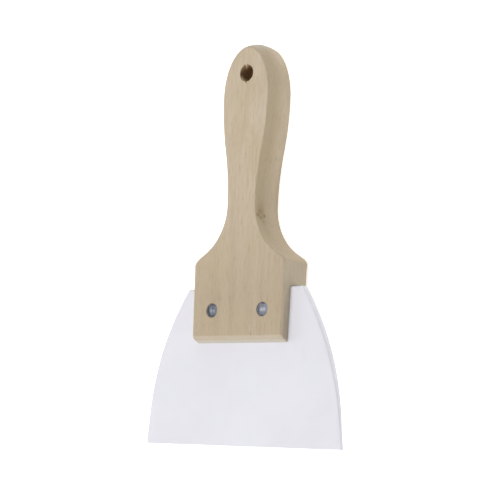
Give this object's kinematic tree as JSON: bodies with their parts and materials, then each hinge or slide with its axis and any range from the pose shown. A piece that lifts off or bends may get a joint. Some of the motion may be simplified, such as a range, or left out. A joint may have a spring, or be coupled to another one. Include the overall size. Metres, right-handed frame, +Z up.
{
  "type": "putty knife",
  "caption": "Flexible putty knife: a flared white blade set in the kerf of a flat waisted wooden handle, held by two steel rivets, with a hanging hole.",
  "frame": {"origin": "bottom centre of the whole knife, on the back face that it lies on", "axes": "+X across the blade to the right as the front face is seen, +Y along the knife from the working edge to the end of the grip, +Z up out of the front face"},
  "size_m": [0.125, 0.203, 0.0176],
  "materials": {
    "handle_wood": "raw, sanded, unvarnished pale hardwood",
    "blade_plastic": "smooth matte white, flexible",
    "rivet_steel": "dull blue-grey steel"
  },
  "bodies": {
    "root": {"handle": "handle_wood", "blade": "blade_plastic", "rivet_tube_left": "rivet_steel", "rivet_tube_right": "rivet_steel", "rivet_pin_left": "rivet_steel", "rivet_pin_right": "rivet_steel"}
  },
  "joints": []
}
